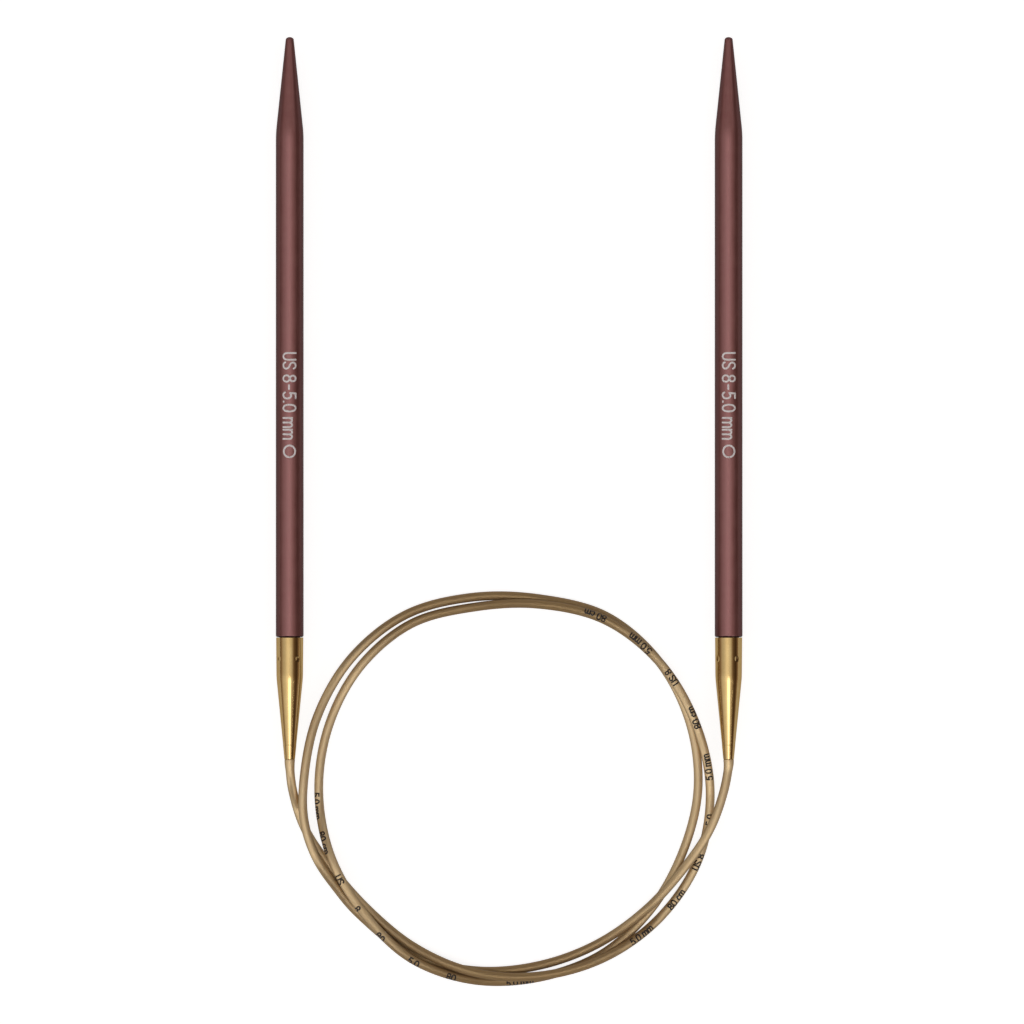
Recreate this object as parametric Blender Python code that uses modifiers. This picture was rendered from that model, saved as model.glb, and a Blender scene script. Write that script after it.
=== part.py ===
"""A fixed circular knitting needle, size 5.0 mm, lying flat with its cord in loose turns behind it.

Metres, +Z up. Both needles lie on the plane z = 0 and point along +Y, one on each side of the
origin, which is under the middle of the pair. The cord leaves the left ferrule, goes round its
coil anticlockwise about two and a half times, and ends in the right ferrule.
"""

from math import atan2, cos, degrees, pi, radians, sin, sqrt, tau

import bmesh
import bpy
from mathutils import Matrix, Vector

# The pair of needles
NEEDLE_DIAMETER = 0.0050  # across the flats of the turned shape
NEEDLE_SPACING = 0.0790  # between the two axes
TIP_LENGTH = 0.1080  # from the point to the joint with the ferrule
FERRULE_LENGTH = 0.0220
NEEDLE_LENGTH = TIP_LENGTH + FERRULE_LENGTH
JOINT_Y = NEEDLE_LENGTH / 2 - TIP_LENGTH
MOUTH_Y = -NEEDLE_LENGTH / 2
AXIS_HEIGHT = NEEDLE_DIAMETER / 2

# The tip
POINT_RADIUS = 0.00072  # where the cone meets the rounded end
POINT_DEPTH = 0.0005
CONE_LENGTH = 0.0173
EDGE = 0.0001  # the broken edge at the shoulder
SPIGOT_RADIUS = 0.0019
SPIGOT_LENGTH = 0.0075
GROOVE_RADIUS = 0.0015  # the spigot's waist, which the crimps bite into
GROOVE_WIDTH = 0.0018

# The ferrule
JOINT_GAP = 0.0001
FERRULE_RADIUS = 0.00245
SHOULDER_RADIUS = 0.00239  # where the sleeve ends and the long cone begins
SLEEVE_LENGTH = 0.0073
MOUTH_RADIUS = 0.00095
SOCKET_RADIUS = 0.00195
SOCKET_DEPTH = 0.0080
CHAMBER_RADIUS = 0.00155  # the room for the cord stop
CHAMBER_END = 0.0130
BORE_RADIUS = 0.00086
CRIMP_DISTANCE = 0.0039  # from the joint
CRIMP_DEPTH = 0.00028
CRIMP_BALL_RADIUS = 0.0010
CRIMP_ANGLES = (36, 126, 216, 306)  # degrees from +Z towards +X

# The cord stop
STOP_RADIUS = 0.0013
STOP_BORE_RADIUS = 0.00086
STOP_START = 0.0088  # distances from the joint
STOP_END = 0.0127
CORD_START = 0.0085

# The cord
CORD_RADIUS = 0.0008
COIL_CENTRE = Vector((-0.0004, -0.0705))
STRAIGHT = 0.0024  # the stretch that leaves each ferrule along its axis
# The turn in degrees, anticlockwise from +X, and the distance from the coil's centre
COIL_ROUTE = (
    (180, 0.0388), (190, 0.0372), (200, 0.0353), (220, 0.0331), (240, 0.0329), (260, 0.0334),
    (280, 0.0340), (300, 0.0349), (320, 0.0359), (340, 0.0367), (360, 0.0366), (380, 0.0360),
    (400, 0.0358), (420, 0.0353), (440, 0.0339), (460, 0.0334), (480, 0.0345), (500, 0.0345),
    (520, 0.0341), (540, 0.0339), (560, 0.0339), (580, 0.0340), (600, 0.0349), (620, 0.0348),
    (640, 0.0343), (660, 0.0342), (680, 0.0337), (700, 0.0336), (720, 0.0344), (740, 0.0351),
    (760, 0.0358), (780, 0.0360), (800, 0.0349), (820, 0.0352), (840, 0.0364), (860, 0.0367),
    (880, 0.0366), (900, 0.0367), (910, 0.0369), (920, 0.0364), (930, 0.0354), (940, 0.0348),
    (960, 0.0343), (980, 0.0331), (1000, 0.0322), (1020, 0.0322), (1040, 0.0331), (1060, 0.0355),
    (1070, 0.0374), (1080, 0.0391),
)  # fmt: skip
# The turns where the cord starts to rise, is up, starts to fall and is down again. It is up
# where it leaves a ferrule and where it lies on other turns, and down on the plane elsewhere.
RAISED = (
    (0, 90, 174, 187), (220, 253, 301, 321), (357, 384, 436, 467),
    (543, 566, 602, 630), (830, 901, 917, 942), (1011, 1042, 1200, 1290),
)  # fmt: skip
SAMPLES_PER_KNOT = 40
LOOP_SPACING = 0.0070  # between the points of the loop's tube
LEAD_SPACING = 0.0018

# The places where the cord bends when a needle is moved, measured along it from the mouth
SWING_REACH = 0.0025
LIFT_REACH = 0.0070
BEND_CLEARANCE = 0.0004

SIDES = 32
STOP_SIDES = 24
MERGE_DISTANCE = 1e-6

COLLECTION = "circular_knitting_needle"


def clear_scene():
    for obj in list(bpy.data.objects):
        bpy.data.objects.remove(obj, do_unlink=True)


def new_collection(name):
    collection = bpy.data.collections.new(name)
    bpy.context.scene.collection.children.link(collection)
    return collection


def material(name, colour, metallic, roughness):
    made = bpy.data.materials.new(name)
    made.use_nodes = True
    shader = made.node_tree.nodes["Principled BSDF"]
    shader.inputs["Base Color"].default_value = (*colour, 1)
    shader.inputs["Metallic"].default_value = metallic
    shader.inputs["Roughness"].default_value = roughness
    return made


def turned(name, outline, sides, closed):
    """A mesh object turned about its Y axis from (radius, y) points.

    Each radius is to the middle of a flat, and one flat faces each of +X, -X, +Z and -Z.
    """
    half_step = pi / sides
    corner = 1 / cos(half_step)
    mesh = bpy.data.meshes.new(name)
    points = [
        (radius * corner * cos(half_step), y, radius * corner * sin(half_step))
        for radius, y in outline
    ]
    edges = [(i, i + 1) for i in range(len(points) - 1)]
    if closed:
        edges.append((len(points) - 1, 0))
    mesh.from_pydata(points, edges, [])
    obj = bpy.data.objects.new(name, mesh)
    screw = obj.modifiers.new("turn", "SCREW")
    screw.axis = "Y"
    screw.angle = tau
    screw.steps = screw.render_steps = sides
    screw.use_merge_vertices = True
    screw.merge_threshold = MERGE_DISTANCE
    screw.use_smooth_shade = True
    return obj


def tip_outline():
    """From the point to the spigot's end, with y = 0 at the joint."""
    barrel = NEEDLE_DIAMETER / 2
    groove_from = CRIMP_DISTANCE - GROOVE_WIDTH / 2
    groove_to = CRIMP_DISTANCE + GROOVE_WIDTH / 2
    dome = [
        (POINT_RADIUS * sin(radians(angle)), TIP_LENGTH - POINT_DEPTH * (1 - cos(radians(angle))))
        for angle in (0, 30, 60, 90)
    ]
    return dome + [
        (barrel, TIP_LENGTH - CONE_LENGTH),
        (barrel, EDGE),
        (barrel - EDGE, 0),
        (SPIGOT_RADIUS, 0),
        (SPIGOT_RADIUS, -groove_from),
        (GROOVE_RADIUS, -groove_from - EDGE),
        (GROOVE_RADIUS, -groove_to + EDGE),
        (SPIGOT_RADIUS, -groove_to),
        (SPIGOT_RADIUS, -SPIGOT_LENGTH),
        (0, -SPIGOT_LENGTH),
    ]


def ferrule_outline():
    """Down the outside from the joint to the mouth, and back up the inside."""
    return [
        (FERRULE_RADIUS - EDGE, -JOINT_GAP),
        (FERRULE_RADIUS, -JOINT_GAP - EDGE),
        (SHOULDER_RADIUS, -SLEEVE_LENGTH),
        (MOUTH_RADIUS, -FERRULE_LENGTH),
        (BORE_RADIUS, -FERRULE_LENGTH),
        (BORE_RADIUS, -CHAMBER_END),
        (CHAMBER_RADIUS, -CHAMBER_END),
        (CHAMBER_RADIUS, -SOCKET_DEPTH),
        (SOCKET_RADIUS, -SOCKET_DEPTH),
        (SOCKET_RADIUS, -JOINT_GAP),
    ]


def stop_outline():
    return [
        (STOP_RADIUS, -STOP_START),
        (STOP_RADIUS, -STOP_END),
        (STOP_BORE_RADIUS, -STOP_END),
        (STOP_BORE_RADIUS, -STOP_START),
    ]


def crimp_cutter(name):
    """Four balls that press the crimp's dimples into a ferrule."""
    mesh = bpy.data.meshes.new(name)
    shape = bmesh.new()
    reach = FERRULE_RADIUS + CRIMP_BALL_RADIUS - CRIMP_DEPTH
    for angle in map(radians, CRIMP_ANGLES):
        place = Vector((reach * sin(angle), -CRIMP_DISTANCE, reach * cos(angle)))
        bmesh.ops.create_uvsphere(
            shape,
            u_segments=16,
            v_segments=10,
            radius=CRIMP_BALL_RADIUS,
            matrix=Matrix.Translation(place),
        )
    shape.to_mesh(mesh)
    shape.free()
    obj = bpy.data.objects.new(name, mesh)
    obj.hide_render = True
    obj.display_type = "WIRE"
    return obj


def smooth_curve(knots):
    """A centripetal Catmull-Rom curve through the knots, spaced by their x and y."""
    first = 2 * knots[0] - knots[1]
    last = 2 * knots[-1] - knots[-2]
    knots = [first, *knots, last]
    times = [0.0]
    for a, b in zip(knots, knots[1:]):
        times.append(times[-1] + sqrt((b - a).xy.length))

    def between(a, b, start, end, time):
        return a.lerp(b, (time - start) / (end - start))

    curve = []
    for i in range(1, len(knots) - 2):
        p0, p1, p2, p3 = knots[i - 1 : i + 3]
        t0, t1, t2, t3 = times[i - 1 : i + 3]
        for sample in range(SAMPLES_PER_KNOT):
            time = t1 + (t2 - t1) * sample / SAMPLES_PER_KNOT
            a1 = between(p0, p1, t0, t1, time)
            a2 = between(p1, p2, t1, t2, time)
            a3 = between(p2, p3, t2, t3, time)
            b1 = between(a1, a2, t0, t2, time)
            b2 = between(a2, a3, t1, t3, time)
            curve.append(between(b1, b2, t1, t2, time))
    return [*curve, knots[-2]]


def ease(value):
    value = min(max(value, 0), 1)
    return value * value * (3 - 2 * value)


def cord_height(turn):
    """The centre line's height at this turn, in degrees."""
    rise = max(
        ease((turn - start) / (up - start)) * (1 - ease((turn - fall) / (down - fall)))
        for start, up, fall, down in RAISED
    )
    return CORD_RADIUS + (AXIS_HEIGHT - CORD_RADIUS) * rise


def cord_route():
    """The cord's centre line from the left ferrule's mouth to the right one's."""

    def lead_knot(x, y, turns_before):
        offset = Vector((x, y)) - COIL_CENTRE
        turn = degrees(atan2(offset.y, offset.x)) + 360 * turns_before
        return Vector((x, y, turn))

    side = NEEDLE_SPACING / 2
    knots = [lead_knot(-side, MOUTH_Y, 0), lead_knot(-side, MOUTH_Y - STRAIGHT, 0)]
    for turn, distance in COIL_ROUTE:
        angle = radians(turn)
        place = COIL_CENTRE + distance * Vector((cos(angle), sin(angle)))
        knots.append(Vector((*place, turn)))
    knots += [lead_knot(side, MOUTH_Y - STRAIGHT, 3), lead_knot(side, MOUTH_Y, 3)]
    return [Vector((x, y, cord_height(turn))) for x, y, turn in smooth_curve(knots)]


def route_length(route):
    return sum((b - a).length for a, b in zip(route, route[1:]))


def stretch(route, start, end, spacing):
    """Evenly spaced points of the route between two distances along it."""
    count = max(2, round((end - start) / spacing) + 1)
    wanted = [start + (end - start) * i / (count - 1) for i in range(count)]
    points = []
    walked = 0.0
    for a, b in zip(route, route[1:]):
        step = (b - a).length
        while len(points) < count and wanted[len(points)] <= walked + step:
            points.append(a.lerp(b, (wanted[len(points)] - walked) / step))
        walked += step
    return points


def tube(name, points):
    curve = bpy.data.curves.new(name, "CURVE")
    curve.dimensions = "3D"
    curve.bevel_depth = CORD_RADIUS
    curve.bevel_resolution = 2
    curve.use_fill_caps = True
    spline = curve.splines.new("POLY")
    spline.points.add(len(points) - 1)
    for slot, place in zip(spline.points, points):
        slot.co = (*place, 1)
    return bpy.data.objects.new(name, curve)


def axis_empty(name, place, parent_place, parent, collection):
    """An empty on a joint's axis, which carries the pieces that turn about it."""
    empty = bpy.data.objects.new(name, None)
    empty.empty_display_size = 0.005
    empty.parent = parent
    empty.location = place - parent_place
    collection.objects.link(empty)
    return empty


def build_side(side, sign, route, materials, parts, cutters):
    """One needle with its ferrule, cord stop and the cord's end, on its two joint axes."""
    length = route_length(route)
    if sign > 0:
        route = route[::-1]
    lift_place = stretch(route, LIFT_REACH, length, length)[0]
    swing_place = Vector((sign * NEEDLE_SPACING / 2, MOUTH_Y - SWING_REACH, AXIS_HEIGHT))
    joint_place = Vector((sign * NEEDLE_SPACING / 2, JOINT_Y, AXIS_HEIGHT))
    origin = Vector((0, 0, 0))
    lift = axis_empty(f"{side}_lift_axis", lift_place, origin, None, parts)
    swing = axis_empty(f"{side}_swing_axis", swing_place, lift_place, lift, parts)

    tip = turned(f"{side}_needle_tip", tip_outline(), SIDES, False)
    ferrule = turned(f"{side}_ferrule", ferrule_outline(), SIDES, True)
    stop = turned(f"{side}_cord_stop", stop_outline(), STOP_SIDES, True)
    cutter = crimp_cutter(f"{side}_crimp_cutter")
    cutters.objects.link(cutter)
    crimp = ferrule.modifiers.new("crimp", "BOOLEAN")
    crimp.operation = "DIFFERENCE"
    crimp.solver = "EXACT"
    crimp.object = cutter
    for obj, finish in ((tip, "anodised"), (ferrule, "gold"), (stop, "brass"), (cutter, "brass")):
        obj.data.materials.append(materials[finish])
        obj.parent = swing
        obj.location = joint_place - swing_place

    inside = joint_place - Vector((0, CORD_START, 0))
    end_points = [inside, *stretch(route, 0, SWING_REACH - BEND_CLEARANCE, LEAD_SPACING)]
    cord_end = tube(f"{side}_cord_end", [place - swing_place for place in end_points])
    cord_end.parent = swing
    bend_points = stretch(
        route, SWING_REACH + BEND_CLEARANCE, LIFT_REACH - BEND_CLEARANCE, LEAD_SPACING
    )
    cord_bend = tube(f"{side}_cord_bend", [place - lift_place for place in bend_points])
    cord_bend.parent = lift
    for obj in (cord_end, cord_bend):
        obj.data.materials.append(materials["nylon"])
    for obj in (tip, ferrule, stop, cord_end, cord_bend):
        parts.objects.link(obj)


def build_loop(route, materials, parts):
    start = LIFT_REACH + BEND_CLEARANCE
    points = stretch(route, start, route_length(route) - start, LOOP_SPACING)
    loop = tube("cord_loop", points)
    loop.data.materials.append(materials["nylon"])
    parts.objects.link(loop)


def main():
    clear_scene()
    parts = new_collection(COLLECTION)
    cutters = new_collection("crimp_cutters")
    materials = {
        "anodised": material("anodised_aluminium", (0.130, 0.035, 0.040), 1.0, 0.38),
        "gold": material("polished_gold_brass", (0.720, 0.440, 0.150), 1.0, 0.16),
        "brass": material("plain_brass", (0.600, 0.400, 0.160), 1.0, 0.35),
        "nylon": material("champagne_nylon", (0.420, 0.300, 0.150), 0.0, 0.35),
    }
    route = cord_route()
    build_side("left", -1, route, materials, parts, cutters)
    build_side("right", 1, route, materials, parts, cutters)
    build_loop(route, materials, parts)


main()
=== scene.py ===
"""The looks of a circular knitting needle, size 5.0 mm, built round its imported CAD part.

Metres, +Z up. Both needles lie on z = 0 and point along +Y, one on each side of the origin. The
cord leaves the left ferrule, goes round its coil anticlockwise about two and a half times, and
ends in the right ferrule.
"""

from math import atan2, cos, degrees, pi, radians, sin, sqrt, tan, tau

import bmesh
import bpy
import numpy as np
from mathutils import Matrix, Vector


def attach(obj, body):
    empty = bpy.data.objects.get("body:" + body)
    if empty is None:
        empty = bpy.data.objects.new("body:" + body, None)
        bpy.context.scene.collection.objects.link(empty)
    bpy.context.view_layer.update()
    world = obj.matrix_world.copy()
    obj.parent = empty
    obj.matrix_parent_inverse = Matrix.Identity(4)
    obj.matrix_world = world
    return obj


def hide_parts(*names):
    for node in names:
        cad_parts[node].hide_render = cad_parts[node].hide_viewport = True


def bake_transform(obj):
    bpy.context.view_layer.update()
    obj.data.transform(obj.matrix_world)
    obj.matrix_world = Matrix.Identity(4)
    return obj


# The camera looks straight down from far away
VIEW_CENTRE = Vector((0.00051, -0.02049))
VIEW_WIDTH = 0.18432
CAMERA_HEIGHT = 2.5
CAMERA_CLIP = (0.1, 50.0)
SENSOR = 36.0

# The soft light: its brightness by the angle from straight up, in degrees, towards +X and +Y
LIGHT_ACROSS = (
    (-90, 0.08), (-75, 0.17), (-60, 0.36), (-45, 0.44), (-38, 0.49), (-28, 0.62), (-19, 0.75),
    (-8, 0.76), (0, 0.63), (10, 0.56), (20, 0.42), (30, 0.20), (38, 0.08), (60, 0.01),
    (75, 0.06), (90, 0.26),
)  # fmt: skip
LIGHT_ALONG = (
    (-20, 0.0), (-15, 0.75), (-11, 1.0), (-7, 0.92), (0, 0.70), (6, 0.53), (10, 0.40),
    (15, 0.14), (19, 0.0),
)  # fmt: skip
# Light from low in the front and the back, by its angle towards +Y. A piece that lies along Y
# doesn't mirror it up to the camera.
LIGHT_AROUND = ((-90, 0.5), (-65, 0.4), (-40, 0.0), (40, 0.0), (65, 0.4), (90, 0.5))
LIGHT_BRIGHTNESS = 1.89
# A soft bright spot nearly overhead: its angles across and along, in radians
TOP_LIGHT_CENTRE = (0.0, -0.24)
TOP_LIGHT_REACH = (0.30, 0.18)
TOP_LIGHT_BRIGHTNESS = 2.1
ROOM_BRIGHTNESS = 0.04
ROOM_COLOUR = (1.0, 0.60, 0.34)  # where the light is dim
WHITE_FROM = 0.6  # the brightness at which it has turned white
WHITE = (1.0, 1.0, 1.0)
BACKDROP_BRIGHTNESS = 0.9  # the least that the camera sees of the room

# The two pairs of side lights: the side, the way to the back one, and the brightness. The front
# one of each pair is its mirror image.
SIDE_LIGHTS = (("right", 0.60, 0.42, 0.68, 2.1), ("left", -0.76, 0.46, 0.46, 1.9))
SIDE_LIGHT_DISTANCE = 5.0
SIDE_LIGHT_SIZE = (1.2, 2.2)
BACK_SHARE, FRONT_SHARE = 0.7, 1.3

# The table
FLOOR_REACH = 14.0
FLOOR_HEIGHT = -0.00003
FLOOR_GREY = 0.45
FLOOR_GLOW = (0.34, 0.84)  # to everything else and to the camera

# The pair of needles
NEEDLE_SPACING = 0.0790
TIP_LENGTH = 0.1080
FERRULE_LENGTH = 0.0220
NEEDLE_LENGTH = TIP_LENGTH + FERRULE_LENGTH
JOINT_Y = NEEDLE_LENGTH / 2 - TIP_LENGTH
MOUTH_Y = -NEEDLE_LENGTH / 2
AXIS_HEIGHT = 0.0025
SEGMENTS = 160  # round a turned piece
ARC_STEP = 9  # degrees between the points of a rounding
DOME_STEP = 6
BARREL_SPACING = 0.004  # between the rings of points along the barrel
SHARP_ANGLE, PRINT_SHARP_ANGLE = 32.0, 60.0  # an edge past this angle, in degrees, stays crisp
SUPPORT = 0.00004  # from the end of a long stretch to its extra point

# The tip
BARREL_RADIUS = 0.0025
CONE_LENGTH = 0.0173
SHOULDER_ROUNDING = 0.026
POINT_RADIUS = 0.00073
POINT_DEPTH = 0.00046
END_ROUNDING = 0.00030
SPIGOT_RADIUS = 0.0019
SPIGOT_LENGTH = 0.0075
GROOVE_RADIUS = 0.0015
GROOVE_WIDTH = 0.0018

# The ferrule
JOINT_GAP = 0.00007
FERRULE_RADIUS = 0.00245
SHOULDER_RADIUS = 0.00239
SLEEVE_LENGTH = 0.0073
FERRULE_END_ROUNDING = 0.00004
FERRULE_SHOULDER_ROUNDING = 0.016
RING_DISTANCE = 0.0026  # from the mouth to the fine turned line
RING_RADIUS = 0.00120
RING_DEPTH = 0.000008
RING_WIDTH = 0.00016
MOUTH_RADIUS = 0.00095
LIP_ROUNDING = 0.00004
BORE_RADIUS = 0.00086
SOCKET_RADIUS = 0.00195
SOCKET_DEPTH = 0.0080
CHAMBER_RADIUS = 0.00155
CHAMBER_END = 0.0130
CRIMP_DISTANCE = 0.0039
CRIMP_ANGLES = (36, 126, 216, 306)  # degrees from +Z towards +X
CRIMP_DEPTH = 0.00013
CRIMP_HALF_WIDTH = 0.00046
CRIMP_HALF_LENGTH = 0.00062
CRIMP_SPACING = 0.00004  # between the rings of points there

# The cord
CORD_RADIUS = 0.0008
COLLAR_RADIUS = 0.00094  # where the cord is thicker, just outside a ferrule
COLLAR_LENGTH = 0.0024
COLLAR_EDGE = 0.00008  # the rounding of its end
CORD_START = 0.0085
COIL_CENTRE = Vector((-0.0004, -0.0705))
STRAIGHT = 0.0010
# The turn in degrees, anticlockwise from +X, and the distance from the coil's centre
COIL_ROUTE = (
    (180, 0.0386), (190, 0.0372), (200, 0.0353), (220, 0.0331), (240, 0.0329), (260, 0.0334),
    (280, 0.0340), (300, 0.0349), (320, 0.0359), (340, 0.0367), (360, 0.0366), (380, 0.0360),
    (400, 0.0358), (420, 0.0353), (440, 0.0339), (460, 0.0334), (480, 0.0345), (500, 0.0345),
    (520, 0.0341), (540, 0.0339), (560, 0.0339), (580, 0.0340), (600, 0.0349), (620, 0.0348),
    (640, 0.0343), (660, 0.0342), (680, 0.0337), (700, 0.0336), (720, 0.0344), (740, 0.0351),
    (760, 0.0358), (780, 0.0360), (800, 0.0349), (820, 0.0352), (840, 0.0364), (860, 0.0367),
    (880, 0.0366), (900, 0.0367), (910, 0.0369), (920, 0.0364), (930, 0.0354), (940, 0.0348),
    (960, 0.0343), (980, 0.0331), (1000, 0.0322), (1020, 0.0322), (1040, 0.0331), (1060, 0.0355),
    (1070, 0.0374), (1080, 0.0391),
)  # fmt: skip
# The turns where the cord starts to rise, is up, starts to fall and is down again
RAISED = (
    (0, 90, 174, 187), (220, 253, 301, 321), (357, 384, 436, 467),
    (543, 566, 602, 630), (830, 901, 917, 942), (1011, 1042, 1200, 1290),
)  # fmt: skip
SAMPLES_PER_KNOT = 40
CORD_SIDES = 40
CORD_SPACING = 0.00045  # between the rings of points along the cord
LEAD_SPACING = 0.00012
# The cord's pieces meet at these distances from each mouth.
SWING_END = 0.0050
LIFT_END = 0.0090

# The printed marks
MARK_HEIGHT = 0.00230
MARK_STROKE = 0.00036
MARK_TOP_Y = 0.0081
CORD_MARK_HEIGHT = 0.00128
CORD_MARK_STROKE = 0.00029
PRINT_THICKNESS = 0.000014
PRINT_TOP_SHARE = 0.86  # of a stroke's width that is flat on top
STROKE_END_ANGLES = (20, 45, 70, 90)
LETTER_GAP = 0.20
WORD_GAP = 0.32
CURVE_STEPS = 6
SIZE_MARK = "US 8-5.0 mm o"
# Each mark on the cord and the turn at which it starts
CORD_MARKS = (
    (309, "5.0 mm", 12), (324, "80 cm", 14), (337, "US 8", 14), (350, "5.0", 20),
    (363, "5.0 mm", 0), (378, "80 cm", 14), (392, "US 8", 8), (404, "5.0 mm", 0),
    (420, "80 cm", 14), (541, "5.0 mm", 46), (553, "80 cm", 40), (567, "US", 30), (578, "8", 40),
    (588, "80", 50), (600, "5.0", 35), (612, "80", 30), (630, "5.0 mm", 30),
)  # fmt: skip

# Strokes of the marks' plain letters, in units of their height: True for a smooth curve
GLYPHS = {
    "U": (0.52, [(True, [(0, 1), (0, 0.66), (0, 0.34), (0.07, 0.1), (0.26, 0), (0.45, 0.1),
                         (0.52, 0.34), (0.52, 0.66), (0.52, 1)])]),
    "S": (0.50, [(True, [(0.49, 0.84), (0.4, 0.96), (0.25, 1), (0.09, 0.94), (0.02, 0.77),
                         (0.09, 0.61), (0.25, 0.51), (0.42, 0.41), (0.5, 0.23), (0.42, 0.06),
                         (0.25, 0), (0.09, 0.04), (0, 0.17)])]),
    "8": (0.50, [(True, [(0.25, 0.53), (0.08, 0.62), (0.03, 0.77), (0.1, 0.94), (0.25, 1),
                         (0.4, 0.94), (0.47, 0.77), (0.42, 0.62), (0.25, 0.53), (0.06, 0.43),
                         (0, 0.26), (0.08, 0.06), (0.25, 0), (0.42, 0.06), (0.5, 0.26),
                         (0.44, 0.43), (0.25, 0.53)])]),
    "5": (0.47, [(False, [(0.44, 1), (0.08, 1)]), (False, [(0.08, 1), (0.04, 0.55)]),
                 (True, [(0.04, 0.55), (0.21, 0.63), (0.39, 0.56), (0.47, 0.33), (0.4, 0.09),
                         (0.22, 0), (0.08, 0.03), (0, 0.14)])]),
    "0": (0.50, [(True, [(0.25, 1), (0.08, 0.9), (0, 0.66), (0, 0.34), (0.08, 0.1), (0.25, 0),
                         (0.42, 0.1), (0.5, 0.34), (0.5, 0.66), (0.42, 0.9), (0.25, 1)])]),
    "m": (0.72, [(False, [(0, 0), (0, 0.7)]),
                 (True, [(0, 0.46), (0.07, 0.64), (0.19, 0.7), (0.31, 0.64), (0.36, 0.48),
                         (0.36, 0.24), (0.36, 0)]),
                 (True, [(0.36, 0.46), (0.43, 0.64), (0.55, 0.7), (0.67, 0.64), (0.72, 0.48),
                         (0.72, 0.24), (0.72, 0)])]),
    "c": (0.40, [(True, [(0.4, 0.58), (0.28, 0.69), (0.13, 0.66), (0.02, 0.5), (0, 0.35),
                         (0.03, 0.17), (0.14, 0.04), (0.28, 0.01), (0.4, 0.12)])]),
    "o": (0.92, [(True, [(0.46 + 0.46 * cos(radians(a)), 0.5 + 0.46 * sin(radians(a)))
                         for a in range(0, 361, 30)])]),
    ".": (0.10, [(False, [(0.04, 0.02), (0.06, 0.02)])]),
    "-": (0.44, [(False, [(0.07, 0.46), (0.37, 0.46)])]),
}  # fmt: skip

# Base colours
ANODISED = ((0.335, 0.136, 0.130), (0.375, 0.160, 0.152))
ANODISED_GRAIN = (0.42, 0.20, 0.19)
# painted shade on the barrel's edges, where it is seen at a slant
ANODISED_PAINTED_EDGE_SHADE = (0.05, 0.015, 0.017)
# painted shade: the colour of the barrel's end, darkened where it meets the ferrule
ANODISED_PAINTED_JOINT_SHADE = (0.03, 0.006, 0.008)
ANODISED_EDGE_TINT = (0.30, 0.12, 0.11, 1)
GOLD = ((0.63, 0.425, 0.172), (0.68, 0.475, 0.206))
GOLD_EDGE_TINT = (0.90, 0.72, 0.42, 1)
BRASS = ((0.50, 0.33, 0.12), (0.66, 0.45, 0.19))
NYLON = ((0.76, 0.565, 0.32), (0.82, 0.62, 0.365))
NYLON_STREAK = (0.87, 0.70, 0.46)
# painted shade on the cord where it runs across
NYLON_PAINTED_SHADE_ACROSS = (0.36, 0.23, 0.10)
# painted shade on the cord's edges, where it is seen at a slant
NYLON_PAINTED_EDGE_SHADE = (0.22, 0.14, 0.06)
NYLON_SCATTER = (1.0, 0.72, 0.42)
WHITE_INK = ((0.98, 0.90, 0.92), (1.0, 0.97, 0.98))
BLACK_INK = ((0.018, 0.013, 0.011), (0.045, 0.032, 0.026))
PAINTED_JOINT_SHADE_SPAN = (0.00012, 0.00026)  # painted shade at the joint: from the tip's end, where the full shade stops and where it has faded out


# ---------------------------------------------------------------- meshes


def mesh_object(name, points, faces, material, sharp_angle=SHARP_ANGLE, uvs=None):
    mesh = bpy.data.meshes.new(name)
    mesh.from_pydata([tuple(p) for p in points], [], faces)
    if uvs is not None:
        layer = mesh.uv_layers.new(name="UVMap")
        layer.uv.foreach_set("vector", np.asarray(uvs, np.float32).ravel())
    shape = bmesh.new()
    shape.from_mesh(mesh)
    bmesh.ops.recalc_face_normals(shape, faces=shape.faces)
    shape.to_mesh(mesh)
    shape.free()
    mesh.shade_smooth()
    mesh.set_sharp_from_angle(angle=radians(sharp_angle))
    mesh.materials.append(material)
    obj = bpy.data.objects.new(name, mesh)
    bpy.context.scene.collection.objects.link(obj)
    return obj


def rounded(corners, closed):
    """The outline through (radius, y, rounding) corners, each rounded by an arc of that radius."""
    outline = []
    count = len(corners)
    for i, (radius, y, rounding) in enumerate(corners):
        here = Vector((radius, y))
        if rounding == 0 or (not closed and i in (0, count - 1)):
            outline.append(here)
            continue
        back = (Vector(corners[i - 1][:2]) - here).normalized()
        onward = (Vector(corners[(i + 1) % count][:2]) - here).normalized()
        half = back.angle(onward) / 2
        middle = here + (back + onward).normalized() * (rounding / sin(half))
        reach = rounding / tan(half)
        spoke, last = here + back * reach - middle, here + onward * reach - middle
        turn = pi - 2 * half
        if spoke.x * last.y - spoke.y * last.x < 0:
            turn = -turn
        steps = max(4, round(abs(degrees(turn)) / ARC_STEP))
        for step in range(steps + 1):
            outline.append(middle + Matrix.Rotation(turn * step / steps, 2) @ spoke)
    return [(p.x, p.y) for p in outline]


def refined(outline, low, high, spacing):
    """The outline with more points wherever it runs along y between low and high."""
    made = []
    for (r0, y0), (r1, y1) in zip(outline, [*outline[1:], outline[0]]):
        made.append((r0, y0))
        top, bottom = min(y0, high), max(y1, low)
        if y0 > y1 and top > bottom:
            steps = int((top - bottom) / spacing)
            for step in range(1, steps):
                y = top + (bottom - top) * step / steps
                made.append((r0 + (r1 - r0) * (y - y0) / (y1 - y0), y))
    return made


def supported(outline):
    """The outline with a point close to each end of its long stretches, so that they shade flat."""
    made = []
    for here, there in zip(outline, [*outline[1:], outline[0]]):
        made.append(here)
        a, b = Vector(here), Vector(there)
        if (b - a).length > 6 * SUPPORT:
            onward = (b - a).normalized() * SUPPORT
            made += [tuple(a + onward), tuple(b - onward)]
    return made


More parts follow.
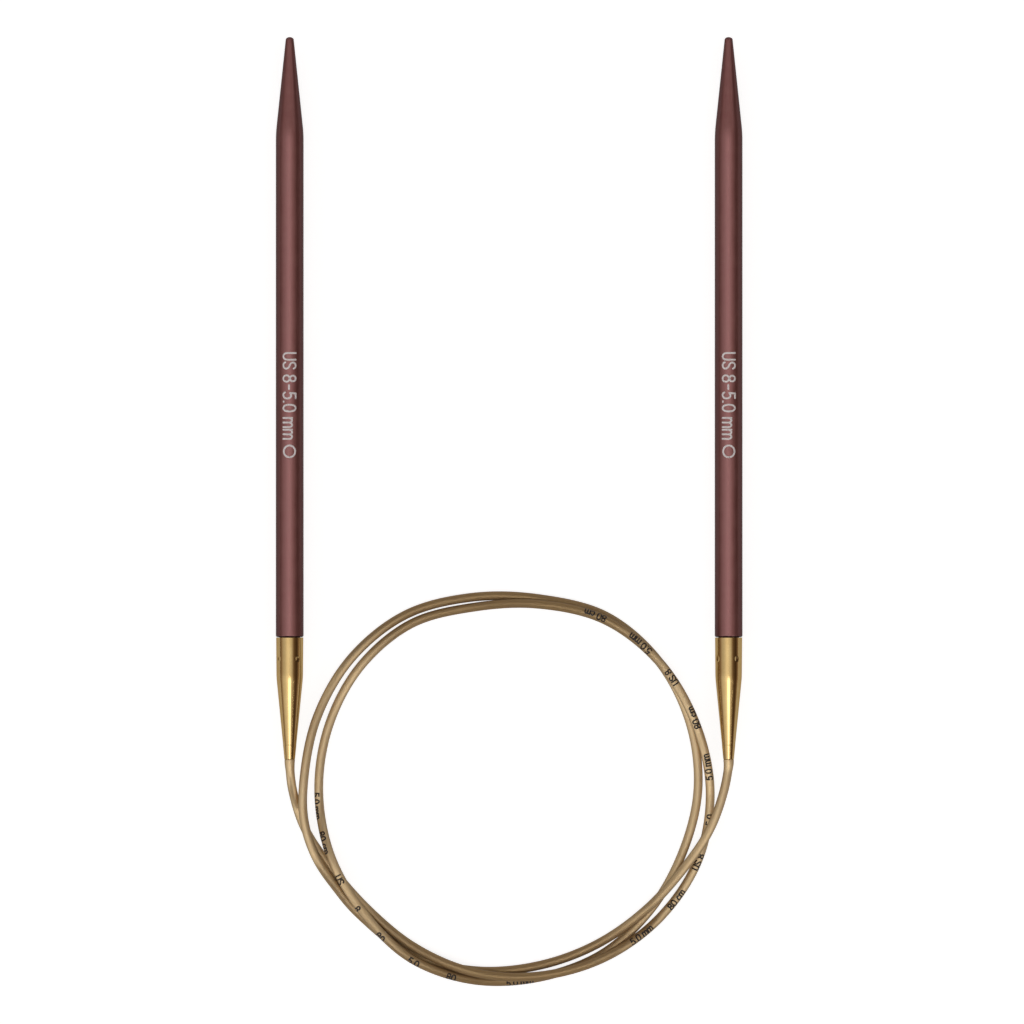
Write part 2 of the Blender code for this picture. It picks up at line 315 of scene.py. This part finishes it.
def turned(name, outline, closed, material, press=None):
    """An object turned about its own Y axis from (radius, y) points. press moves a point inwards."""
    angles = [tau * i / SEGMENTS for i in range(SEGMENTS)]
    points, rings = [], []
    for radius, y in outline:
        if radius < 1e-9:  # on the axis
            rings.append([len(points)] * SEGMENTS)
            points.append((0, y, 0))
            continue
        rings.append(list(range(len(points), len(points) + SEGMENTS)))
        for angle in angles:
            r = radius - (press(radius, y, angle) if press else 0)
            points.append((r * sin(angle), y, r * cos(angle)))
    pairs = list(zip(rings, rings[1:]))
    if closed:
        pairs.append((rings[-1], rings[0]))
    faces = []
    for a, b in pairs:
        for i in range(SEGMENTS):
            j = (i + 1) % SEGMENTS
            corners = [a[i], a[j], b[j], b[i]]
            face = [c for k, c in enumerate(corners) if c != corners[k - 1]]
            if len(face) > 2:
                faces.append(face)
    return mesh_object(name, points, faces, material)


def tip_outline():
    groove_from = CRIMP_DISTANCE - GROOVE_WIDTH / 2
    groove_to = CRIMP_DISTANCE + GROOVE_WIDTH / 2
    corners = [
        (POINT_RADIUS, TIP_LENGTH - POINT_DEPTH, 0),
        (BARREL_RADIUS, TIP_LENGTH - CONE_LENGTH, SHOULDER_ROUNDING),
        (BARREL_RADIUS, 0, END_ROUNDING),
        (SPIGOT_RADIUS, 0, 0),
        (SPIGOT_RADIUS, -groove_from, 0),
        (GROOVE_RADIUS, -groove_from, 0),
        (GROOVE_RADIUS, -groove_to, 0),
        (SPIGOT_RADIUS, -groove_to, 0),
        (SPIGOT_RADIUS, -SPIGOT_LENGTH, 0),
        (0, -SPIGOT_LENGTH, 0),
    ]
    lean = (BARREL_RADIUS - POINT_RADIUS) / (CONE_LENGTH - POINT_DEPTH)
    dome = []
    for angle in range(0, 90, DOME_STEP):
        sine, cosine = sin(radians(angle)), cos(radians(angle))
        depth = POINT_DEPTH * (1 - cosine)
        # It meets the cone at the cone's own slope.
        radius = POINT_RADIUS * sine - lean * POINT_DEPTH * cosine * sine
        dome.append((radius, TIP_LENGTH - depth))
    outline = supported(dome + rounded(corners, False))[:-2]
    return refined(outline, 0, TIP_LENGTH - CONE_LENGTH, BARREL_SPACING)


def ferrule_outline():
    ring_y = RING_DISTANCE - FERRULE_LENGTH
    corners = [
        (FERRULE_RADIUS, -JOINT_GAP, FERRULE_END_ROUNDING),
        (SHOULDER_RADIUS, -SLEEVE_LENGTH, FERRULE_SHOULDER_ROUNDING),
        (RING_RADIUS, ring_y + RING_WIDTH / 2, 0),
        (RING_RADIUS - RING_DEPTH, ring_y, 0),
        (RING_RADIUS, ring_y - RING_WIDTH / 2, 0),
        (MOUTH_RADIUS, -FERRULE_LENGTH, LIP_ROUNDING),
        (BORE_RADIUS, -FERRULE_LENGTH, 0),
        (BORE_RADIUS, -CHAMBER_END, 0),
        (CHAMBER_RADIUS, -CHAMBER_END, 0),
        (CHAMBER_RADIUS, -SOCKET_DEPTH, 0),
        (SOCKET_RADIUS, -SOCKET_DEPTH, 0),
        (SOCKET_RADIUS, -JOINT_GAP, 0),
    ]
    middle, reach = -CRIMP_DISTANCE, CRIMP_HALF_LENGTH * 1.2
    outline = supported(rounded(corners, True))
    return refined(outline, middle - reach, middle + reach, CRIMP_SPACING)


def crimp(radius, y, angle):
    """How far the crimping tool pressed this point of the ferrule's outside inwards."""
    if radius < SOCKET_RADIUS + CRIMP_DEPTH:
        return 0
    along = (y + CRIMP_DISTANCE) / CRIMP_HALF_LENGTH
    if abs(along) >= 1:
        return 0
    for centre in CRIMP_ANGLES:
        round_it = ((degrees(angle) - centre + 180) % 360 - 180) * pi / 180 * radius
        distance = sqrt(along**2 + (round_it / CRIMP_HALF_WIDTH) ** 2)
        if distance < 1:
            return CRIMP_DEPTH * (1 - distance**2) ** 1.5
    return 0


# ---------------------------------------------------------------- the cord's route


def smooth_curve(knots):
    """A centripetal Catmull-Rom curve through the knots, spaced by their x and y."""
    first = 2 * knots[0] - knots[1]
    last = 2 * knots[-1] - knots[-2]
    knots = [first, *knots, last]
    times = [0.0]
    for a, b in zip(knots, knots[1:]):
        times.append(times[-1] + sqrt((b - a).xy.length))

    def between(a, b, start, end, time):
        return a.lerp(b, (time - start) / (end - start))

    curve = []
    for i in range(1, len(knots) - 2):
        p0, p1, p2, p3 = knots[i - 1 : i + 3]
        t0, t1, t2, t3 = times[i - 1 : i + 3]
        for sample in range(SAMPLES_PER_KNOT):
            time = t1 + (t2 - t1) * sample / SAMPLES_PER_KNOT
            a1 = between(p0, p1, t0, t1, time)
            a2 = between(p1, p2, t1, t2, time)
            a3 = between(p2, p3, t2, t3, time)
            b1 = between(a1, a2, t0, t2, time)
            b2 = between(a2, a3, t1, t3, time)
            curve.append(between(b1, b2, t1, t2, time))
    return [*curve, knots[-2]]


def ease(value):
    value = min(max(value, 0), 1)
    return value * value * (3 - 2 * value)


def cord_height(turn):
    rise = max(
        ease((turn - start) / (up - start)) * (1 - ease((turn - fall) / (down - fall)))
        for start, up, fall, down in RAISED
    )
    return CORD_RADIUS + (AXIS_HEIGHT - CORD_RADIUS) * rise


class Route:
    """The cord's centre line from the left mouth to the right one, by the distance along it.

    It goes on straight into each ferrule, where the distance is negative or past the length.
    """

    def __init__(self):
        side = NEEDLE_SPACING / 2
        knots = [self.lead(-side, MOUTH_Y, 0), self.lead(-side, MOUTH_Y - STRAIGHT, 0)]
        for turn, distance in COIL_ROUTE:
            angle = radians(turn)
            place = COIL_CENTRE + distance * Vector((cos(angle), sin(angle)))
            knots.append(Vector((*place, turn)))
        knots += [self.lead(side, MOUTH_Y - STRAIGHT, 3), self.lead(side, MOUTH_Y, 3)]
        line = [(x, y, cord_height(turn), turn) for x, y, turn in smooth_curve(knots)]
        inside = JOINT_Y - CORD_START
        line.insert(0, (-side, inside, AXIS_HEIGHT, 0))
        line.append((side, inside, AXIS_HEIGHT, 0))
        line = np.array(line)
        self.points, self.turns = line[:, :3], line[:, 3]
        steps = np.linalg.norm(np.diff(self.points, axis=0), axis=1)
        self.distances = np.concatenate([[0], np.cumsum(steps)]) - steps[0]
        self.length = self.distances[-2]
        self.inner = steps[0]

    @staticmethod
    def lead(x, y, turns_before):
        offset = Vector((x, y)) - COIL_CENTRE
        turn = degrees(atan2(offset.y, offset.x)) + 360 * turns_before
        return Vector((x, y, turn))

    def at(self, distances):
        distances = np.atleast_1d(distances)
        return np.stack(
            [np.interp(distances, self.distances, self.points[:, k]) for k in range(3)], axis=1
        )

    def frames(self, distances):
        """Places, and the unit vectors to the right of the cord and up from it, at distances."""
        step = LEAD_SPACING / 2
        places = self.at(distances)
        ahead = self.at(np.asarray(distances) + step) - self.at(np.asarray(distances) - step)
        ahead /= np.linalg.norm(ahead, axis=1)[:, None]
        right = np.cross(ahead, (0, 0, 1))
        right /= np.linalg.norm(right, axis=1)[:, None]
        return places, right, np.cross(right, ahead)

    def at_turn(self, turn):
        """The distance to this turn of the coil."""
        return float(np.interp(turn, self.turns[1:-1], self.distances[1:-1]))


def cord_radius(from_mouth):
    """The cord's radius at this distance outside a mouth: it swells towards the ferrule."""
    if from_mouth < 0:
        return CORD_RADIUS
    swell = 1 - ease(from_mouth / COLLAR_LENGTH)
    edge = min(from_mouth / COLLAR_EDGE, 1)
    return CORD_RADIUS + (COLLAR_RADIUS - CORD_RADIUS) * swell * sqrt(edge * (2 - edge))


def cord_piece(name, route, start, end, spacing, material):
    """The stretch of cord between two distances, as a tube with closed ends."""
    count = max(2, round(abs(end - start) / spacing) + 1)
    distances = np.linspace(start, end, count)
    places, right, up = route.frames(distances)
    angles = np.linspace(0, tau, CORD_SIDES + 1)[:-1]
    points, faces, uvs = [], [], []
    for i, distance in enumerate(distances):
        radius = cord_radius(min(distance, route.length - distance))
        for angle in angles:
            points.append(places[i] + radius * (up[i] * cos(angle) + right[i] * sin(angle)))
    for i in range(count - 1):
        for k in range(CORD_SIDES):
            j = (k + 1) % CORD_SIDES
            a, b = i * CORD_SIDES, (i + 1) * CORD_SIDES
            faces.append((a + k, a + j, b + j, b + k))
            u0, u1 = k / CORD_SIDES, (k + 1) / CORD_SIDES
            uvs += [
                (u0, distances[i]), (u1, distances[i]), (u1, distances[i + 1]),
                (u0, distances[i + 1]),
            ]  # fmt: skip
    last = (count - 1) * CORD_SIDES
    faces.append(tuple(range(CORD_SIDES)))
    faces.append(tuple(last + k for k in range(CORD_SIDES)))
    uvs += [(k / CORD_SIDES, start) for k in range(CORD_SIDES)]
    uvs += [(k / CORD_SIDES, end) for k in range(CORD_SIDES)]
    obj = mesh_object(name, points, faces, material, uvs=uvs)
    # Painted shade: how far the cord runs across, along X, which darkens its colour towards brown
    painted_across_shade = obj.data.attributes.new("painted_across_shade", "FLOAT", "POINT")
    painted_across_shade.data.foreach_set("value", np.repeat(right[:, 1] ** 2, CORD_SIDES).astype(np.float32))
    return obj


# ---------------------------------------------------------------- the printed marks


def smooth_stroke(knots):
    """A flat Catmull-Rom curve through the knots of one stroke."""
    closed = knots[0] == knots[-1]
    before = knots[-2] if closed else 2 * knots[0] - knots[1]
    after = knots[1] if closed else 2 * knots[-1] - knots[-2]
    knots = [before, *knots, after]
    line = []
    for p0, p1, p2, p3 in zip(knots, knots[1:], knots[2:], knots[3:]):
        for step in range(CURVE_STEPS):
            t = step / CURVE_STEPS
            line.append(
                0.5 * (2 * p1 + t * (p2 - p0) + t * t * (2 * p0 - 5 * p1 + 4 * p2 - p3)
                       + t**3 * (3 * p1 - p0 - 3 * p2 + p3))
            )  # fmt: skip
    return [*line, knots[-2]]


def strokes_of(text, height):
    """The strokes of a line of text as lists of flat points, and the line's length."""
    at, strokes = 0.0, []
    for letter in text:
        if letter == " ":
            at += WORD_GAP
            continue
        width, drawn = GLYPHS[letter]
        for smooth, knots in drawn:
            knots = [Vector((at + x, y - 0.5)) * height for x, y in knots]
            if smooth:
                strokes.append(smooth_stroke(knots))
            else:
                strokes.append([knots[0].lerp(knots[1], i / 8) for i in range(9)])
        at += width + LETTER_GAP
    return strokes, (at - LETTER_GAP) * height


def stroke_end(place, way, reach, angle):
    """A row of a stroke's round end: its middle, the stroke's way and the share of its width."""
    return place + way * reach * sin(radians(angle)), way, cos(radians(angle))


def printed(name, text, height, stroke_width, place, material):
    """Raised print. place(x, v, lift) is where a flat point of it lies on the surface."""
    points, faces = [], []
    half = stroke_width / 2
    for line in strokes_of(text, height)[0]:
        ways = [(b - a).normalized() for a, b in zip([line[0], *line], [*line[1:], line[-1]])]
        ways[0] = (line[1] - line[0]).normalized()
        ways[-1] = (line[-1] - line[-2]).normalized()
        rows = []
        for angle in reversed(STROKE_END_ANGLES):
            rows.append(stroke_end(line[0], ways[0], -half, angle))
        rows += [(p, way, 1.0) for p, way in zip(line, ways)]
        for angle in STROKE_END_ANGLES:
            rows.append(stroke_end(line[-1], ways[-1], half, angle))
        base = len(points)
        for p, way, share in rows:
            across = Vector((-way.y, way.x)) * half * share
            for side, lift in ((-1, -1), (-PRINT_TOP_SHARE, 1), (PRINT_TOP_SHARE, 1), (1, -1)):
                q = p + across * side
                points.append(place(q.x, q.y, lift * PRINT_THICKNESS))
        for i in range(len(rows) - 1):
            for k in range(3):
                a, b = base + 4 * i + k, base + 4 * (i + 1) + k
                faces.append((a, a + 1, b + 1, b))
    return mesh_object(name, points, faces, material, sharp_angle=PRINT_SHARP_ANGLE)


# ---------------------------------------------------------------- materials


class Nodes:
    """Short ways to add shader nodes. A value is a number, a colour, a vector or a socket."""

    def __init__(self, tree):
        self.tree = tree

    def put(self, value, target):
        """Link a socket to the target, or set the target to a constant."""
        if isinstance(value, bpy.types.NodeSocket):
            self.tree.links.new(value, target)
        else:
            target.default_value = value

    def add(self, kind, **settings):
        node = self.tree.nodes.new(kind)
        for name, value in settings.items():
            if name in node.inputs:
                self.put(value, node.inputs[name])
            else:
                setattr(node, name, value)
        return node

    def object_place(self):
        return self.add("ShaderNodeTexCoord").outputs["Object"]

    def slant(self):
        """How far the surface is seen at a slant, from 0 face on to 1 edge on."""
        return self.add("ShaderNodeLayerWeight", Blend=0.5).outputs["Facing"]

    def noise(self, vector, scale, detail=3.0):
        node = self.add(
            "ShaderNodeTexNoise", Vector=vector, Scale=scale, Detail=detail, Roughness=0.55
        )
        return node.outputs["Fac"]

    def stretched(self, vector, scale):
        return self.add("ShaderNodeMapping", Vector=vector, Scale=scale).outputs["Vector"]

    def span(self, value, low, high, to_low, to_high, smooth=False):
        node = self.add("ShaderNodeMapRange")
        node.interpolation_type = "SMOOTHSTEP" if smooth else "LINEAR"
        self.put(value, node.inputs["Value"])
        for name, number in zip(("From Min", "From Max", "To Min", "To Max"),
                                (low, high, to_low, to_high)):  # fmt: skip
            node.inputs[name].default_value = number
        return node.outputs["Result"]

    def ramp(self, value, stops):
        """A grey that runs through (position, grey) stops, for a value from 0 to 1."""
        node = self.add("ShaderNodeValToRGB", Fac=value)
        elements = node.color_ramp.elements
        while len(elements) < len(stops):
            elements.new(1.0)
        for element, (position, grey) in zip(elements, stops):
            element.position = position
            element.color = (grey, grey, grey, 1)
        return node.outputs["Color"]

    def math(self, operation, *values):
        node = self.add("ShaderNodeMath", operation=operation)
        for value, target in zip(values, node.inputs):
            self.put(value, target)
        return node.outputs[0]

    def fade(self, value, across, shares, a, b):
        """A colour from a towards b. While the value crosses a range, the share of b follows."""
        node = self.add("ShaderNodeMix", data_type="RGBA")
        self.put(self.span(value, *across, *shares), node.inputs[0])
        for colour, target in ((a, node.inputs[6]), (b, node.inputs[7])):
            self.put(colour if isinstance(colour, bpy.types.NodeSocket) else (*colour, 1), target)
        return node.outputs[2]

    def bump(self, height, strength, distance):
        node = self.add("ShaderNodeBump", Strength=strength, Distance=distance, Height=height)
        return node.outputs["Normal"]


def new_material(name, **settings):
    """A material with a Principled shader, whose settings are sockets' names with _ for a space."""
    made = bpy.data.materials.new(name)
    made.use_nodes = True
    shader = made.node_tree.nodes["Principled BSDF"]
    for key, value in settings.items():
        shader.inputs[key.replace("_", " ")].default_value = value
    return made, Nodes(made.node_tree), shader


def anodised():
    """Satin dark red anodising on a turned barrel, with a clear sealed skin."""
    made, nodes, shader = new_material(
        "anodised_aluminium", Metallic=1.0, Specular_Tint=ANODISED_EDGE_TINT, Coat_Weight=0.5,
        Coat_Roughness=0.16, Coat_IOR=1.5,
    )  # fmt: skip
    place = nodes.object_place()
    cloud = nodes.noise(place, 420.0)
    grain = nodes.noise(nodes.stretched(place, (9000, 150, 9000)), 1.0, 2.0)
    specks = nodes.noise(place, 16000.0, 1.0)
    colour = nodes.fade(cloud, (0.3, 0.7), (0.0, 1.0), *ANODISED)
    colour = nodes.fade(grain, (0.35, 0.7), (0.0, 0.35), colour, ANODISED_GRAIN)
    # Painted shade: the colour darkens where the surface is seen at a slant, towards the barrel's
    # edges.
    colour = nodes.fade(nodes.slant(), (0.0, 0.45), (0.0, 0.65), colour, ANODISED_PAINTED_EDGE_SHADE)
    # Painted shade in the joint: the barrel is darkened over its last fraction of a millimetre before
    # the ferrule.
    end = nodes.add("ShaderNodeSeparateXYZ", Vector=place).outputs["Y"]
    colour = nodes.fade(end, PAINTED_JOINT_SHADE_SPAN, (1.0, 0.0), colour, ANODISED_PAINTED_JOINT_SHADE)
    nodes.put(colour, shader.inputs["Base Color"])
    rough = nodes.span(nodes.math("ADD", grain, cloud), 0.7, 1.3, 0.40, 0.48)
    nodes.put(rough, shader.inputs["Roughness"])
    height = nodes.math("ADD", nodes.span(grain, 0, 1, 0, 0.7), nodes.span(specks, 0, 1, 0, 0.3))
    nodes.put(nodes.bump(height, 0.3, 0.0000015), shader.inputs["Normal"])
    return made


def gold():
    """Lacquered gold-coloured plating with fine turning lines and handling marks."""
    made, nodes, shader = new_material(
        "polished_brass", Metallic=1.0, Specular_Tint=GOLD_EDGE_TINT, Coat_Weight=0.3,
        Coat_Roughness=0.10, Coat_IOR=1.5,
    )  # fmt: skip
    place = nodes.object_place()
    cloud = nodes.noise(place, 600.0)
    rings = nodes.noise(nodes.stretched(place, (500, 14000, 500)), 1.0, 2.0)
    scratches = nodes.noise(nodes.stretched(place, (7000, 500, 7000)), 1.0)
    nodes.put(nodes.fade(cloud, (0.3, 0.7), (0.0, 1.0), *GOLD), shader.inputs["Base Color"])
    rough = nodes.span(cloud, 0.3, 0.7, 0.09, 0.13)
    rough = nodes.math("ADD", rough, nodes.span(rings, 0.3, 0.7, 0, 0.04))
    nodes.put(rough, shader.inputs["Roughness"])
    height = nodes.math("ADD", nodes.span(rings, 0, 1, 0, 0.5), nodes.span(scratches, 0, 1, 0, 0.5))
    nodes.put(nodes.bump(height, 0.06, 0.0000006), shader.inputs["Normal"])
    return made


def plain_brass():
    """Drawn brass with a dull film, inside the ferrules."""
    made, nodes, shader = new_material("plain_brass", Metallic=1.0)
    cloud = nodes.noise(nodes.object_place(), 900.0, 4.0)
    nodes.put(nodes.fade(cloud, (0.3, 0.7), (0.0, 1.0), *BRASS), shader.inputs["Base Color"])
    nodes.put(nodes.span(cloud, 0.3, 0.7, 0.3, 0.45), shader.inputs["Roughness"])
    return made


def nylon():
    """Champagne nylon cord, drawn smooth, with a sheen across its length."""
    made, nodes, shader = new_material(
        "nylon_cord", Metallic=0.88, Anisotropic=0.85, Subsurface_Weight=1.0,
        Subsurface_Radius=NYLON_SCATTER, Subsurface_Scale=0.0006, IOR=1.53,
    )  # fmt: skip
    around = nodes.add("ShaderNodeTangent", direction_type="UV_MAP", uv_map="UVMap")
    nodes.put(around.outputs["Tangent"], shader.inputs["Tangent"])
    # The pattern's place on a cylinder, so that it has no seam
    uv = nodes.add("ShaderNodeUVMap", uv_map="UVMap").outputs["UV"]
    split = nodes.add("ShaderNodeSeparateXYZ", Vector=uv)
    turn = nodes.math("MULTIPLY", split.outputs["X"], tau)
    place = nodes.add(
        "ShaderNodeCombineXYZ", X=nodes.math("COSINE", turn), Y=nodes.math("SINE", turn),
        Z=split.outputs["Y"],
    ).outputs["Vector"]  # fmt: skip
    streaks = nodes.noise(nodes.stretched(place, (5.0, 5.0, 90.0)), 1.0)
    blotches = nodes.noise(nodes.stretched(place, (0.5, 0.5, 320.0)), 1.0)
    painted_across_shade = nodes.add("ShaderNodeAttribute", attribute_name="painted_across_shade").outputs["Fac"]
    colour = nodes.fade(blotches, (0.3, 0.7), (0.0, 1.0), *NYLON)
    colour = nodes.fade(streaks, (0.4, 0.75), (0.0, 0.45), colour, NYLON_STREAK)
    # Painted shade: darker and browner where the cord runs across.
    colour = nodes.fade(painted_across_shade, (0.0, 1.0), (0.0, 0.8), colour, NYLON_PAINTED_SHADE_ACROSS)
    # Painted shade: the cord darkens where it is seen at a slant, towards its edges.
    colour = nodes.fade(nodes.slant(), (0.2, 0.65), (0.0, 0.5), colour, NYLON_PAINTED_EDGE_SHADE)
    nodes.put(colour, shader.inputs["Base Color"])
    nodes.put(nodes.span(streaks, 0.3, 0.7, 0.38, 0.46), shader.inputs["Roughness"])
    nodes.put(nodes.bump(streaks, 0.3, 0.00002), shader.inputs["Normal"])
    return made


def ink(name, colours, roughness, metallic):
    """Print that is slightly uneven."""
    made, nodes, shader = new_material(name, Roughness=roughness, Metallic=metallic)
    cover = nodes.noise(nodes.object_place(), 5000.0)
    nodes.put(nodes.fade(cover, (0.35, 0.65), (0.0, 1.0), *colours), shader.inputs["Base Color"])
    nodes.put(nodes.bump(cover, 0.3, 0.000004), shader.inputs["Normal"])
    return made


# ---------------------------------------------------------------- the studio


def add_camera():
    data = bpy.data.cameras.new("camera")
    data.sensor_width = SENSOR
    data.lens = SENSOR * (CAMERA_HEIGHT - AXIS_HEIGHT) / VIEW_WIDTH
    data.clip_start, data.clip_end = CAMERA_CLIP
    camera = bpy.data.objects.new("camera", data)
    camera.location = (*VIEW_CENTRE, CAMERA_HEIGHT)
    bpy.context.scene.collection.objects.link(camera)
    bpy.context.scene.camera = camera


def add_softbox(name, towards, brightness):
    """An area light in this direction from the origin, facing it."""
    width, depth = SIDE_LIGHT_SIZE
    data = bpy.data.lights.new(name, "AREA")
    data.shape = "RECTANGLE"
    data.size, data.size_y = width, depth
    data.energy = brightness * pi * width * depth
    light = bpy.data.objects.new(name, data)
    light.location = Vector(towards).normalized() * SIDE_LIGHT_DISTANCE
    light.rotation_euler = Vector(towards).to_track_quat("Z", "Y").to_euler()
    light.visible_camera = False
    bpy.context.scene.collection.objects.link(light)


def add_side_lights():
    for name, x, y, z, level in SIDE_LIGHTS:
        add_softbox(f"{name}_back_light", (x, y, z), BACK_SHARE * level)
        add_softbox(f"{name}_front_light", (x, -y, z), FRONT_SHARE * level)


def add_world():
    """A dim room with one wide soft light above, brightest a little to the left and in front."""
    world = bpy.data.worlds.new("studio")
    world.use_nodes = True
    nodes = Nodes(world.node_tree)
    way = nodes.add("ShaderNodeTexCoord").outputs["Generated"]
    x, y, z = nodes.add("ShaderNodeSeparateXYZ", Vector=way).outputs
    across = nodes.math("ARCTAN2", x, z)
    along = nodes.math("ARCSINE", y)

    def by_angle(angle, table):
        """The table's brightness at an angle in radians."""
        stops = [((degree + 90) / 180, brightness) for degree, brightness in table]
        return nodes.ramp(nodes.span(angle, -pi / 2, pi / 2, 0, 1), stops)

    shape = nodes.math("MULTIPLY", by_angle(across, LIGHT_ACROSS), by_angle(along, LIGHT_ALONG))
    glow = nodes.math("MULTIPLY_ADD", shape, LIGHT_BRIGHTNESS, ROOM_BRIGHTNESS)
    glow = nodes.math("ADD", glow, by_angle(along, LIGHT_AROUND))
    off = []
    for angle, centre, reach in zip((across, along), TOP_LIGHT_CENTRE, TOP_LIGHT_REACH):
        share = nodes.math("DIVIDE", nodes.math("SUBTRACT", angle, centre), reach)
        off.append(nodes.math("POWER", share, 2))
    top = nodes.span(nodes.math("ADD", *off), 0.0, 1.0, TOP_LIGHT_BRIGHTNESS, 0.0, smooth=True)
    glow = nodes.math("ADD", glow, top)
    ray = nodes.add("ShaderNodeLightPath").outputs["Is Camera Ray"]
    seen = nodes.math("MAXIMUM", glow, nodes.math("MULTIPLY", ray, BACKDROP_BRIGHTNESS))
    colour = nodes.fade(seen, (0.0, WHITE_FROM), (0.0, 1.0), ROOM_COLOUR, WHITE)
    background = world.node_tree.nodes["Background"]
    nodes.put(colour, background.inputs["Color"])
    nodes.put(seen, background.inputs["Strength"])
    bpy.context.scene.world = world


def add_floor():
    """A white table. It is bright to the camera, and darker in what the metal mirrors."""
    made, nodes, shader = new_material(
        "floor", Base_Color=(FLOOR_GREY, FLOOR_GREY, FLOOR_GREY, 1), Roughness=0.9,
        Specular_IOR_Level=0.0, Emission_Color=(*WHITE, 1),
    )  # fmt: skip
    ray = nodes.add("ShaderNodeLightPath").outputs["Is Camera Ray"]
    nodes.put(nodes.span(ray, 0, 1, *FLOOR_GLOW), shader.inputs["Emission Strength"])
    mesh = bpy.data.meshes.new("floor")
    corners = ((-1, -1), (1, -1), (1, 1), (-1, 1))
    points = [(x * FLOOR_REACH, y * FLOOR_REACH, FLOOR_HEIGHT) for x, y in corners]
    mesh.from_pydata(points, [], [(0, 1, 2, 3)])
    mesh.materials.append(made)
    floor = bpy.data.objects.new("floor", mesh)
    bpy.context.scene.collection.objects.link(floor)


# ---------------------------------------------------------------- the object


def barrel_place(side):
    """Places the size mark on a barrel: it reads towards the ferrule, its tops towards +X."""

    def place(x, v, lift):
        angle = v / BARREL_RADIUS
        radius = BARREL_RADIUS + lift
        return Vector(
            (side * NEEDLE_SPACING / 2 + radius * sin(angle), MARK_TOP_Y - x,
             AXIS_HEIGHT + radius * cos(angle))
        )  # fmt: skip

    return place


def cord_place(route, start, roll):
    """Places a mark on the cord from this distance on, rolled outwards by this many degrees."""

    def place(x, v, lift):
        places, right, up = route.frames([start + x])
        angle = v / CORD_RADIUS - radians(roll)
        radius = CORD_RADIUS + lift
        return Vector(places[0] + radius * (up[0] * cos(angle) - right[0] * sin(angle)))

    return place


def build_needle(side, sign, materials):
    joint = Vector((sign * NEEDLE_SPACING / 2, JOINT_Y, AXIS_HEIGHT))
    body = f"{side}_needle"
    tip = turned(f"{side}_turned_tip", tip_outline(), False, materials["anodised"])
    ferrule = turned(f"{side}_gold_ferrule", ferrule_outline(), True, materials["gold"], crimp)
    for obj in (tip, ferrule):
        obj.location = joint
        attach(obj, body)
    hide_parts(f"{side}_needle_tip")
    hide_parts(f"{side}_ferrule")
    mark = printed(
        f"{side}_size_mark", SIZE_MARK, MARK_HEIGHT, MARK_STROKE, barrel_place(sign),
        materials["white_ink"],
    )  # fmt: skip
    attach(mark, body)


def build_leads(side, route, materials):
    """The first centimetre of the cord beside one ferrule, as two pieces."""
    if side == "left":
        inside, mouth, swing, lift = -route.inner, 0, SWING_END, LIFT_END
    else:
        length = route.length
        inside, mouth = length + route.inner, length
        swing, lift = length - SWING_END, length - LIFT_END
    end = cord_piece(f"{side}_cord_in_ferrule", route, inside, swing, LEAD_SPACING, materials["nylon"])
    bend = cord_piece(f"{side}_cord_lead", route, swing, lift, LEAD_SPACING, materials["nylon"])
    places = route.at([mouth, swing, lift])
    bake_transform(end)
    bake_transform(bend)
    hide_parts(f"{side}_cord_end")
    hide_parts(f"{side}_cord_bend")
    return [end, bend]


def build_cord(route, materials):
    leads = [*build_leads("left", route, materials), *build_leads("right", route, materials)]
    loop = cord_piece(
        "cord_in_turns", route, LIFT_END, route.length - LIFT_END, CORD_SPACING, materials["nylon"]
    )
    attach(loop, "cord")
    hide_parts("cord_loop")
    for index, (turn, text, roll) in enumerate(CORD_MARKS):
        mark = printed(
            f"cord_mark_{index + 1}", text, CORD_MARK_HEIGHT, CORD_MARK_STROKE,
            cord_place(route, route.at_turn(turn), roll), materials["black_ink"],
        )  # fmt: skip
        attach(mark, "cord")
    count = round((route.length - 2 * LIFT_END) / CORD_SPACING)
    route.at(0)[0]
    route.at(np.linspace(LIFT_END, route.length - LIFT_END, count))


add_camera()
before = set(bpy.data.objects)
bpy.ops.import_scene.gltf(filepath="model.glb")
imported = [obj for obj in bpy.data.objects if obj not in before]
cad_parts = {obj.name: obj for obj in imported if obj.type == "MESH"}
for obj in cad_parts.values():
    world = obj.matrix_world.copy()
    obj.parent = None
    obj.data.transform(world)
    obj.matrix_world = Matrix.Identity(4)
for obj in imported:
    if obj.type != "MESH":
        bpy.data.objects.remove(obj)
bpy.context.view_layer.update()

route = Route()
materials = {
    "anodised": anodised(),
    "gold": gold(),
    "brass": plain_brass(),
    "nylon": nylon(),
    "white_ink": ink("white_ink", WHITE_INK, 0.5, 0.25),
    "black_ink": ink("black_ink", BLACK_INK, 0.4, 0.0),
}
build_cord(route, materials)
for side, sign in (("left", -1), ("right", 1)):
    build_needle(side, sign, materials)
    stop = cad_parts[f"{side}_cord_stop"]
    stop.data.materials.clear()
    stop.data.materials.append(materials["brass"])

add_world()
add_floor()
add_side_lights()
bpy.context.scene.view_settings.view_transform = "Standard"
